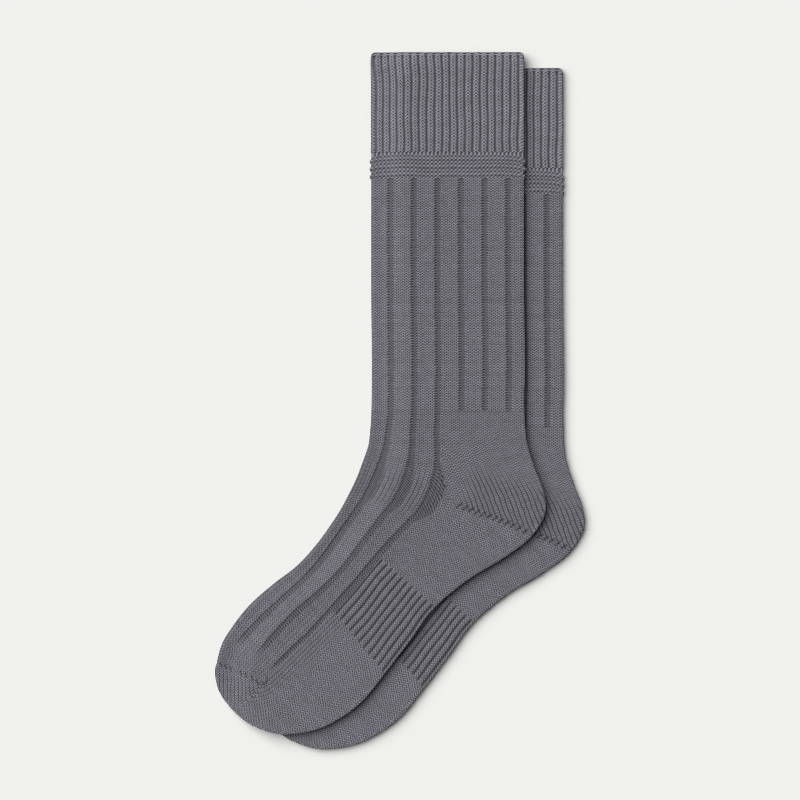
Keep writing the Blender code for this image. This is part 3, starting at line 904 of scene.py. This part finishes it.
def heel(sock, sizes):
    """The bend: sunk lines down the instep, and behind them the plain pocket and its gore."""
    columns = leg_columns(sock)

    def shares_at(stations):
        crowd = HEEL_CROWD * smooth_step(LEG_END, LEG_END + 20, stations)
        crowd = crowd * smooth_step(ARCH_START, ARCH_START - 30, stations)
        return foot_shares(stations, columns.top, crowd)

    stations = spaced(LEG_END, ARCH_START, COURSE / ROWS_A_COURSE)
    stage = Stage(sock, "heel", columns, stations, shares_at)
    flat, wales = stage.flat, stage.round_places()
    rows = stations[:, None]
    down = lengths_down(flat)
    # Every wale of the instep has the same courses, closer in the bend where it is shorter
    left_over = down[-1:] / COURSE - INSTEP_COURSES
    instep = LEG_END_COURSE + down / COURSE - left_over * smooth_step(*INSTEP_EASES, down / down[-1:])
    sole = ARCH_START_COURSE - (down[-1:] - down) / COURSE
    gore_wales, gore_stations = zip(*HEEL_GORE)
    past_gore = rows - np.interp(np.clip(wales, FRONT_WALE, BACK_WALE), gore_wales, gore_stations)
    bend = smooth_step(*BEND_BEGINS, rows) * smooth_step(*BEND_IS_OVER, rows)
    on_foot = smooth_step(*FOOT_BEGINS, rows)
    widened = [
        amount * bend + more * on_foot for amount, more in zip(LINES_WIDEN, LINES_WIDER_ON_FOOT)
    ]
    last_line = FOOT_LINE_WALES[-1]
    behind = wales >= last_line + LINE_RIGHT + widened[-1]
    in_pocket = behind & (past_gore < 0)
    skewed = SOLE_SKEW * (wales - last_line) * smooth_step(*SOLE_SKEW_ENDS, rows)
    courses = np.where(behind, sole - skewed, instep)
    drawn = smooth_step(*DRAWN_WALES, wales) * smooth_step(*DRAWN_ABOVE_GORE, past_gore)
    drawn = drawn * (past_gore < 0)
    pocket_wales, pocket_courses = uneven(flat, *pocket_knit(flat), off_ends(down))
    wales, courses = uneven(flat, wales, courses, off_ends(down))
    for line, wider in zip(FOOT_LINE_WALES, widened):
        past = wales - line
        in_line = (past > -LINE_LEFT) & (past < LINE_RIGHT + wider)
        courses = courses - PURL_SLANT * bend * past * in_line
    relief = wide_ribs(sizes, wales, courses, FOOT_LINE_WALES, widened=widened)
    pocket = plain_knit(sizes, pocket_wales, pocket_courses)
    pocket = pocket._replace(depth=pocket.depth + LINE_ROLL)
    relief = blend(relief, pocket, in_pocket.astype(float))
    wales = np.where(in_pocket, pocket_wales, wales)
    courses = np.where(in_pocket, pocket_courses, courses)
    # The gore's gaps, sunk and darkened with painted shade
    relief = stroked(relief, flat, heel_gore_strokes(), GORE_STROKE_WIDTH)
    apart = np.maximum(np.maximum(drawn, (0.35 + 0.45 * bend) * ~behind), APART)
    stage.finish(relief, stage.fade() * shown_share(sock, wales), wales, courses, apart=apart)


def pocket_knit(flat):
    """(wale, course) of the pocket, whose wales run on from the leg and then lean back."""
    down = -LEG_END - flat[..., 1]
    leaning = POCKET_LEANT_BY - POCKET_LEANS_FROM
    past = (down - POCKET_LEANS_FROM).clip(0)
    turned = past.clip(max=leaning) ** 2 / (2 * leaning)
    leant = POCKET_LEAN * (turned + (past - leaning).clip(0))
    spread = 1 + POCKET_SPREAD * smooth_step(*POCKET_SPREADS, down)
    start = FIRST_LINE_X + WALE * (FOOT_LINE_WALES[-1] - LINE_WALES[0])
    across = (flat[..., 0] - leant - start) / spread
    tilt = POCKET_LEAN * smooth_step(*POCKET_TILTS, down)
    wales = FOOT_LINE_WALES[-1] + across / WALE
    courses = LEG_END_COURSE + (down + tilt * (flat[..., 0] - start - 20)) / COURSE
    return wales, courses


def heel_gore_strokes():
    """The gaps where the pocket's wales end on the gore, as lines on the flat sock."""
    wales, stations = np.array(HEEL_GORE).T
    crowd = np.full(len(stations), HEEL_CROWD)
    shares = np.diagonal(foot_shares(stations, wales, crowd))[:, None]
    fronts, backs = chords(stations)
    gore = fronts + shares * (backs - fronts)
    xs = np.linspace(*HEEL_GORE_X, HEEL_GORE_MARKS)
    middles = np.column_stack([xs, np.interp(xs, gore[:, 0], gore[:, 1])])
    half = np.array(HEEL_GORE_STROKE)
    return [(middle - half, middle + half) for middle in middles]


def arch(sock, sizes):
    """1x1 ribs round the sole half, and the instep's sunk lines beside them."""
    last_wale = FOOT_LINE_WALES[-1] + 2.0
    instep_top = whole_steps(FRONT_WALE, last_wale, COLUMNS_A_WALE)
    rib_top = whole_steps(0.0, float(ARCH_RIBS), COLUMNS_A_RIB)
    if sock.detail_from > 0:
        instep_top = spaced(FRONT_WALE, last_wale, HIDDEN_SPACING)
        rib_top = np.concatenate([[0.0, 1.0], rib_top[rib_top >= 2.0]])
    columns = Columns(np.concatenate([instep_top[:-1], last_wale + 1 + rib_top]))
    on_ribs = columns.top > last_wale
    top_ribs = columns.top - last_wale - 1

    def shares_at(stations):
        lines = foot_lines(stations)
        ribs_start = lines[:, 2:] + ARCH_RIBS_PAST_LINE_3
        knots = np.concatenate([np.zeros((len(stations), 1)), lines, ribs_start], axis=1)
        knot_wales = [FRONT_WALE, *FOOT_LINE_WALES, last_wale]
        instep = np.array([np.interp(columns.top, knot_wales, row) for row in knots])
        return np.where(on_ribs, ribs_start + (1 - ribs_start) * top_ribs / ARCH_RIBS, instep)

    stations = spaced(ARCH_START, ARCH_END, COURSE / ROWS_A_COURSE)
    stage = Stage(sock, "arch", columns, stations, shares_at)
    flat, rows = stage.flat, len(stations)
    no_rib = -9.0
    ribs = columns.spread(
        rows,
        np.full(len(columns.wales_before), no_rib),
        np.where(on_ribs, top_ribs, no_rib),
        ARCH_RIBS + 0.5 * columns.wales_after,
    )
    first_rib_wale, last_rib_wale = ARCH_RIB_WALES
    wales = columns.spread(
        rows,
        FRONT_WALE + columns.wales_before,
        np.where(on_ribs, first_rib_wale + 2 * top_ribs, columns.top),
        last_rib_wale + columns.wales_after,
    )
    past_start = (stations - ARCH_START)[:, None]
    before_end = (ARCH_END - stations)[:, None]
    courses = ARCH_START_COURSE + past_start / COURSE + 0.1 * wander(flat * 1.9)
    instep = wide_ribs(sizes, wales, courses, FOOT_LINE_WALES, widened=LINES_WIDER_ON_FOOT)
    place = ribs + 0.1 * wander(flat * 2.1) * smooth_step(0, 9, past_start)
    brace_courses = past_start / ARCH_COURSE + 0.15 * wander(flat * 7.0)
    brace = narrow_ribs(sizes, place, brace_courses, STITCH_LEAN, 1.0, 0.5)
    reach = smooth_step(-0.2, 1.0, past_start) * smooth_step(-0.2, 1.0, before_end)
    relief = blend(instep, brace, (ribs >= -0.01) * reach)
    # A groove where the ribs begin, sunk and darkened with painted shade
    short_of_ribs = np.where(ribs < -0.01, last_wale - wales, 9.0)
    relief = deepened(relief, 0.8, 0.8, np.exp(-((short_of_ribs / 0.3) ** 2)) * reach)
    stage.finish(relief, stage.fade() * shown_share(sock, wales), wales, courses)


def toe_cap_knit(flat):
    """(wale, course) of the sole and toe cap, whose wales turn round the end of the gore."""
    offset = flat - below_leg(*TOE_TURN)
    angles = np.radians(TOE_FACES)
    outs = np.stack([offset @ np.array([np.cos(a), np.sin(a)]) for a in angles])
    alongs = np.stack([offset @ np.array([np.sin(a), -np.cos(a)]) for a in angles])
    highest = outs.max(axis=0)
    out = highest + TOE_CORNERS * np.log(np.exp((outs - highest) / TOE_CORNERS).sum(axis=0))
    alongs[1] += 2 * np.tan((angles[0] - angles[1]) / 2) * outs[1]
    along = np.take_along_axis(alongs, outs.argmax(axis=0)[None], axis=0)[0]
    return TOE_TURN_WALE + out / TOE_WALE, along / COURSE + TOE_CAP_COURSE


def toe(sock, sizes):
    """The forefoot and the rounded cap, with the toe's gore and the hook at its end."""
    top = spaced(0.0, 1.0, TOE_SPACING / FOREFOOT_WIDTH)
    if sock.detail_from > 0:
        hidden = spaced(0.0, TOE_HIDDEN_TO, 0.03)
        top = np.concatenate([hidden[:-1], top[top >= TOE_HIDDEN_TO]])
    columns = Columns(top)
    nose = FOLD_RADIUS * FULLS[-1]
    nose_turn = np.linspace(0.0, 0.88, 6) * np.pi / 2
    before_nose = spaced(ARCH_END, TIP - nose, TOE_SPACING)[:-1]
    stations = np.concatenate([before_nose, TIP - nose + nose * np.sin(nose_turn)])
    into_nose = ((stations - TIP + nose) / nose).clip(0, 1)
    pinch = nose * (1 - np.sqrt(1 - into_nose**2))
    stage = Stage(sock, "toe", columns, stations, pinch=pinch)
    flat, shares = stage.flat, stage.lay.chord_share
    rows = stations[:, None]
    instep_wales = foot_wales(stations, shares) + stage.lay.unrolled_past / WALE
    instep_courses = ARCH_START_COURSE + (rows - ARCH_START) / COURSE
    turn = below_leg(*TOE_TURN)
    from_turn = flat - turn
    gore_along = np.array(TOE_GORE_DIRECTION) / np.linalg.norm(TOE_GORE_DIRECTION)
    past_gore = from_turn @ np.array([-gore_along[1], gore_along[0]])
    on_cap = (instep_wales > FOOT_LINE_WALES[-1] + 1.0) | (past_gore > 0)
    even = smooth_step(0, 8, rows - stations[0])
    instep_wales, instep_courses = uneven(flat, instep_wales, instep_courses, even)
    cap_wales, cap_courses = uneven(flat, *toe_cap_knit(flat), even)
    wales = np.where(on_cap, cap_wales, instep_wales)
    courses = np.where(on_cap, cap_courses, instep_courses)
    past_toe_start = rows - TOE_START - LINE_1_RUNS_ON * (instep_wales < 8)
    kept = 1 - smooth_step(*LINES_FADE, past_toe_start)
    lined = wide_ribs(sizes, instep_wales, courses, FOOT_LINE_WALES, kept, LINES_WIDER_ON_FOOT)
    relief = blend(lined, plain_knit(sizes, wales, courses), on_cap.astype(float))
    # The gore's gaps and the hook, sunk and darkened with painted shade
    half = np.array(TOE_GORE_STROKE)
    middles = [turn + along * gore_along for along in TOE_GORE_MARKS]
    relief = stroked(relief, flat, [(middle - half, middle + half) for middle in middles])
    hook = [below_leg(*point) for point in HOOK]
    relief = stroked(relief, flat, list(zip(hook, hook[1:])), HOOK_WIDTH)
    fade = stage.fade() * smooth_step(0.0, 2.0, TIP - rows)
    if sock.detail_from > 0:
        fade = fade * smooth_step(TOE_HIDDEN_TO, TOE_HIDDEN_TO + 0.05, shares)
    # The wales are drawn apart beside the third line, on the instep and under the gore
    beside_line_3 = 0.85 * np.exp(-(((instep_wales - 20) / 5.0) ** 2))
    turned = smooth_step(0, 6, past_gore) * smooth_step(*CAP_APART_LEFT, from_turn[..., 0])
    turned = turned * smooth_step(*CAP_APART_BELOW, from_turn[..., 1])
    apart = np.maximum(APART + 0.6 * turned, np.where(on_cap, beside_line_3, TOE_APART))
    stage.finish(relief, fade, wales, courses, apart=apart)


STAGES = (cuff, band, leg, heel, arch, toe)


# ---------------------------------------------------------------- materials


def linear(hex_colour):
    """An sRGB hex colour as linear RGBA."""
    channels = [int(hex_colour[i : i + 2], 16) / 255 for i in (1, 3, 5)]
    low = [c / 12.92 if c <= 0.04045 else ((c + 0.055) / 1.055) ** 2.4 for c in channels]
    return (*low, 1.0)


def add_node(tree, kind, inputs=(), output=0, **settings):
    """The output of a new node, whose inputs are numbers or other nodes' outputs.

    A Mix node takes its share on 0, two numbers on 2 and 3, and two colours on 6 and 7.
    """
    node = tree.nodes.new(f"ShaderNode{kind}")
    for name, value in settings.items():
        setattr(node, name, value)
    for name, value in inputs.items() if isinstance(inputs, dict) else enumerate(inputs):
        if isinstance(value, bpy.types.NodeSocket):
            tree.links.new(value, node.inputs[name])
        else:
            node.inputs[name].default_value = value
    return node.outputs[output] if output is not None else node


# Each stage is the same combed cotton and wool blend yarn. What changes is the knit.
# lean is that of its stitches, dark how much painted shade lies between them, and tone a factor
# on the whole colour of the stage.
StageKnit = namedtuple("StageKnit", "material lean dark tone")
STAGE_KNITS = {
    "cuff": StageKnit("cotton_wool_1x1_rib_knit", RIB_STITCH_LEAN, 0.86, 1.1),
    "band": StageKnit("cotton_wool_garter_knit", STITCH_LEAN, 0.8, 0.77),
    "leg": StageKnit("cotton_wool_4x2_rib_knit", STITCH_LEAN, 0.8, 0.88),
    "heel": StageKnit("cotton_wool_heel_knit", STITCH_LEAN, 0.78, 0.81),
    "arch": StageKnit("cotton_wool_brace_rib_knit", STITCH_LEAN, 0.76, 0.82),
    "toe": StageKnit("cotton_wool_toe_knit", STITCH_LEAN, 0.74, 0.84),
}


def stitch_height(add, wale, course, lean):
    """The same knit and purl forms as in the mesh, 0 between two loops and 1 on a loop.

    Comes with how light it is between two wales that are drawn apart.
    """
    across = add("Math", [wale], operation="FRACT")
    off_middle = add("Math", [across, 2.0, -1.0], operation="MULTIPLY_ADD")
    off_middle = add("Math", [off_middle], operation="ABSOLUTE")
    row = add("Math", [off_middle, -lean, course], operation="MULTIPLY_ADD")
    # Each leg is thickest in its middle, so that next to one another they lie like bricks
    later = add("Math", [course, 2 * np.pi, -0.5], operation="MULTIPLY_ADD")
    turns = [add("Math", [part, 2 * np.pi], operation="MULTIPLY") for part in (wale, course, row)]
    waves = [add("Math", [turn], operation="COSINE") for turn in (*turns, later)]
    wale_wave, course_wave, leaning_legs, thick_wave = waves
    thick_parts = add("Math", [thick_wave, wale_wave], operation="MULTIPLY")
    legs = add("Math", [leaning_legs, 0.3, 0.5], operation="MULTIPLY_ADD")
    legs = add("Math", [thick_parts, -0.33, legs], operation="MULTIPLY_ADD")
    # Between two wales, wider where they are drawn apart, and where a stitch's two legs meet
    apart = add("Attribute", output="Fac", attribute_name="Apart")
    sharpness = add("Math", [apart, -2.2, 4.7], operation="MULTIPLY_ADD")
    edge = add("Math", [off_middle, sharpness], operation="POWER")
    middle = add("Math", [1.0, off_middle], operation="SUBTRACT")
    middle = add("Math", [middle, 3.0], operation="POWER")
    closed = add("Math", [middle, -0.6, 1.0], operation="MULTIPLY_ADD")
    edge_depth = add("Math", [apart, 0.6, 0.4], operation="MULTIPLY_ADD")
    dark_edge = add("Math", [edge, edge_depth], operation="MULTIPLY")
    closed = add("Math", [closed, dark_edge], operation="SUBTRACT")
    fill = add("Math", [apart, 0.45], operation="MULTIPLY")
    filled = add("Mix", {0: fill, 2: legs, 3: 0.75})
    knit = add("Math", [filled, closed], operation="MULTIPLY")
    straightened = add("Math", [apart, 0.8], operation="MULTIPLY")
    in_rows = add("Mix", {0: straightened, 2: wale_wave, 3: 1.0})
    bricks = add("Math", [in_rows, course_wave], operation="MULTIPLY")
    purl = add("Math", [bricks, 0.7, 0.45], operation="MULTIPLY_ADD")
    purl = add("Math", [course_wave, 0.1, purl], operation="MULTIPLY_ADD")
    purl_share = add("Attribute", output="Fac", attribute_name="Purl")
    height = add("Clamp", [add("Mix", {0: purl_share, 2: knit, 3: purl})])
    # Painted shade between wales that are drawn far apart
    far_apart = add("Math", [apart, apart], operation="MULTIPLY")
    drawn = add("Math", [far_apart, edge], operation="MULTIPLY")
    return height, add("Math", [drawn, -GAP_SHADE, 1.0], operation="MULTIPLY_ADD")


def stage_material(stage):
    """Matt spun yarn: no gloss, a soft pale sheen off its fibres, darker down between loops."""
    name, lean, dark, tone_of_stage = STAGE_KNITS[stage]
    if name in bpy.data.materials:
        return bpy.data.materials[name]
    yarn = bpy.context.scene.sock_yarn
    material = bpy.data.materials.new(name)
    material.use_nodes = True
    material.node_tree.nodes.clear()
    add = partial(add_node, material.node_tree)
    place = add("TexCoord", output="Object")
    knit_map = add("UVMap", uv_map="Knit")
    wale = add("SeparateXYZ", [knit_map], output="X")
    course = add("SeparateXYZ", [knit_map], output="Y")
    height, painted_gap_shade = stitch_height(add, wale, course, lean)

    # Mottling of the dyed yarn in patches of about 9 mm, courses lighter or darker than their
    # neighbours, lighter and darker fibres 0.5 mm apart, and each stitch unlike the next
    rough = {"Roughness": 0.6}
    mottle = add("TexNoise", {"Vector": place, "Scale": 110.0, "Detail": 2.0, **rough})
    banding = {"W": course, "Scale": 0.35, "Detail": 1.0, **rough}
    banding = add("TexNoise", banding, noise_dimensions="1D")
    fibre = add("TexNoise", {"Vector": place, "Scale": 1900.0, "Detail": 2.0, **rough})
    cell = add("VectorMath", [knit_map], operation="FLOOR")
    each = add("TexWhiteNoise", [cell], noise_dimensions="2D")
    parts = ((mottle, 0.3), (banding, 0.35), (fibre, 0.5), (each, 0.3))
    tone = 0.5 - sum(weight for _, weight in parts) / 2
    for part, weight in parts:
        tone = add("Math", [part, weight, tone], operation="MULTIPLY_ADD")
    fibres = {6: (*yarn.dark_fibre, 1.0), 7: (*yarn.light_fibre, 1.0)}
    heather = add("Mix", {0: tone, **fibres}, output=2, data_type="RGBA")
    # Painted shade on the colour: down between loops, in grooves, eyelets and gaps, and between wales
    # drawn apart
    recess = add("Attribute", output="Fac", attribute_name="Recess")
    painted_recess_shade = add("Math", [recess, -yarn.in_grooves, 1.0], operation="MULTIPLY_ADD")
    between = tone_of_stage * (1.0 - yarn.between_loops * dark)
    painted_loop_shade = add("Mix", {0: height, 2: between, 3: tone_of_stage})
    shade = add("Math", [painted_loop_shade, painted_recess_shade], operation="MULTIPLY")
    shade = add("Math", [shade, painted_gap_shade], operation="MULTIPLY")
    colour = add("VectorMath", {0: heather, "Scale": shade}, operation="SCALE")
    fuzz = add("Bump", {"Strength": 0.5, "Distance": 0.0002, "Height": fibre})
    loops = {"Strength": 1.0, "Distance": 0.0003, "Height": height, "Normal": fuzz}
    yarn_surface = {
        "Base Color": colour,
        "Roughness": 0.92,
        "Metallic": 0.0,
        "Specular IOR Level": 0.25,
        "Sheen Weight": 0.35,
        "Sheen Roughness": 0.5,
        "Normal": add("Bump", loops),
    }
    add("OutputMaterial", [add("BsdfPrincipled", yarn_surface)], output=None)
    return material


def floor_material(colour):
    """Matt seamless paper."""
    material = bpy.data.materials.new("matt_paper_backdrop")
    material.use_nodes = True
    shader = material.node_tree.nodes["Principled BSDF"]
    shader.inputs["Base Color"].default_value = (*colour, 1.0)
    shader.inputs["Roughness"].default_value = 0.95
    shader.inputs["Specular IOR Level"].default_value = 0.1
    return material


# ---------------------------------------------------------------- settings and operators


def number_property(name, description, default, **kind):
    return bpy.props.FloatProperty(name=name, description=description, default=default, **kind)


LENGTH = {"unit": "LENGTH", "subtype": "DISTANCE", "precision": 5}
FACTOR = {"min": 0.0, "max": 1.0, "subtype": "FACTOR"}


def colour_property(name, description, hex_colour):
    return bpy.props.FloatVectorProperty(
        name=name, description=description, default=linear(hex_colour)[:3], subtype="COLOR"
    )


class SockKnitSettings(bpy.types.PropertyGroup):
    """Sizes of the knit's relief."""

    stitch_relief: number_property("Stitch relief", "Depth between two knit loops", 0.00065, **LENGTH)
    purl_relief: number_property("Purl relief", "Depth between two purl bumps", 0.00075, **LENGTH)
    groove_depth: number_property("Groove depth", "Depth between two narrow ribs", 0.0013, **LENGTH)
    ridge_depth: number_property("Ridge depth", "Depth between two garter ridges", 0.0004, **LENGTH)
    lip: number_property("Lip", "Rounding of the cuff's mouth", 0.0009, **LENGTH)


class SockYarnSettings(bpy.types.PropertyGroup):
    """Colour of the yarn."""

    dark_fibre: colour_property("Dark fibre", "The darker of the yarn's two fibres", "#7e7d85")
    light_fibre: colour_property("Light fibre", "The lighter of the two", "#a4a2ae")
    # Painted shade: how much darker the colour is made between loops, and in grooves and eyelets
    between_loops: number_property(
        "Between loops", "How much darker the yarn is down between its loops", 1.0, **FACTOR
    )
    in_grooves: number_property(
        "In grooves", "How much darker the yarn is down in grooves and eyelets", 0.6, **FACTOR
    )


class SockStudioSettings(bpy.types.PropertyGroup):
    """The surface under the socks, the light on them and the view of them."""

    floor_colour: colour_property("Floor", "Colour of the backdrop", "#dadad7")
    frame_width: number_property("Frame width", "Picture's width at the socks", 0.52, **LENGTH)
    camera_height: number_property("Camera height", "How far above the floor it stands", 2.9, **LENGTH)
    key_strength: number_property("Key light", "Strength of the soft key light", 4.2, min=0.0)
    fill_strength: number_property("Fill light", "Strength of the light all round", 0.2, min=0.0)


SETTINGS = {
    "sock_knit": SockKnitSettings,
    "sock_yarn": SockYarnSettings,
    "sock_studio": SockStudioSettings,
}


def stage_operator(stage):
    """The operator class of one stage, which makes it on both socks."""

    def execute(self, context):
        for sock in SOCKS:
            stage(sock, context.scene.sock_knit)
        return {"FINISHED"}

    name = stage.__name__
    members = {
        "__doc__": stage.__doc__.rstrip("."),
        "bl_idname": f"socks.add_{name}",
        "bl_label": f"Add {name.title()}",
        "bl_options": {"REGISTER", "UNDO"},
        "execute": execute,
    }
    return type(f"SOCKS_OT_add_{name}", (bpy.types.Operator,), members)


STAGE_OPERATORS = [stage_operator(stage) for stage in STAGES]


class SOCKS_OT_add_studio(bpy.types.Operator):
    """Makes the pale floor, the soft light and the camera straight above"""

    bl_idname = "socks.add_studio"
    bl_label = "Add Studio"
    bl_options = {"REGISTER", "UNDO"}

    def execute(self, context):
        studio = context.scene.sock_studio
        add_floor(studio)
        add_lights(context.scene, studio)
        add_camera(context.scene, studio)
        return {"FINISHED"}


def add_floor(studio):
    bm = bmesh.new()
    bmesh.ops.create_grid(bm, x_segments=1, y_segments=1, size=3.0)
    mesh = bpy.data.meshes.new("floor")
    bm.to_mesh(mesh)
    bm.free()
    floor = bpy.data.objects.new("floor", mesh)
    mesh.materials.append(floor_material(studio.floor_colour))
    bpy.context.scene.collection.objects.link(floor)


KEY_SPREAD = 62  # degrees, a large soft box
KEY_TILT = (-22, -32)  # degrees round x and y, from straight above
CAMERA_UP = 0.0004  # metres up the picture


def add_lights(scene, studio):
    key = bpy.data.lights.new("key", "SUN")
    key.energy = studio.key_strength
    key.angle = np.radians(KEY_SPREAD)
    lamp = bpy.data.objects.new("key", key)
    lamp.rotation_euler = (*np.radians(KEY_TILT), 0.0)
    scene.collection.objects.link(lamp)
    world = bpy.data.worlds.new("studio")
    world.use_nodes = True
    background = world.node_tree.nodes["Background"]
    background.inputs["Color"].default_value = (1.0, 1.0, 1.0, 1.0)
    background.inputs["Strength"].default_value = studio.fill_strength
    scene.world = world
    scene.view_settings.view_transform = "Standard"
    scene.cycles.filter_width = 0.95  # pixels, for stitches three pixels apart
    scene.cycles.denoising_prefilter = "NONE"


SENSOR = 36.0  # mm


def add_camera(scene, studio):
    """A long lens straight above, with the picture's width measured at the socks' top."""
    camera = bpy.data.cameras.new("camera")
    camera.sensor_width = SENSOR
    above_socks = studio.camera_height - 1.5 * FLAT_HEIGHT * METRE
    camera.lens = SENSOR * above_socks / studio.frame_width
    camera.clip_end = 20.0
    holder = bpy.data.objects.new("camera", camera)
    holder.location = (0.0, CAMERA_UP, studio.camera_height)
    scene.collection.objects.link(holder)
    scene.camera = holder


class SOCKS_PT_panel(bpy.types.Panel):
    """The socks' settings and the steps that make them"""

    bl_idname = "SOCKS_PT_panel"
    bl_label = "Calf Socks"
    bl_space_type = "VIEW_3D"
    bl_region_type = "UI"
    bl_category = "Socks"

    def draw(self, context):
        layout = self.layout
        for holder, settings in SETTINGS.items():
            box = layout.box()
            for name in settings.__annotations__:
                box.prop(getattr(context.scene, holder), name)
        for operator in (*STAGE_OPERATORS, SOCKS_OT_add_studio):
            layout.operator(operator.bl_idname)


CLASSES = (*SETTINGS.values(), *STAGE_OPERATORS, SOCKS_OT_add_studio, SOCKS_PT_panel)


def register():
    for cls in CLASSES:
        bpy.utils.register_class(cls)
    for holder, settings in SETTINGS.items():
        setattr(bpy.types.Scene, holder, bpy.props.PointerProperty(type=settings))


def unregister():
    for holder in SETTINGS:
        delattr(bpy.types.Scene, holder)
    for cls in reversed(CLASSES):
        bpy.utils.unregister_class(cls)


def main():
    register()
    for stage in STAGES:
        getattr(bpy.ops.socks, f"add_{stage.__name__}")()
    bpy.ops.socks.add_studio()


if __name__ == "__main__":
    main()
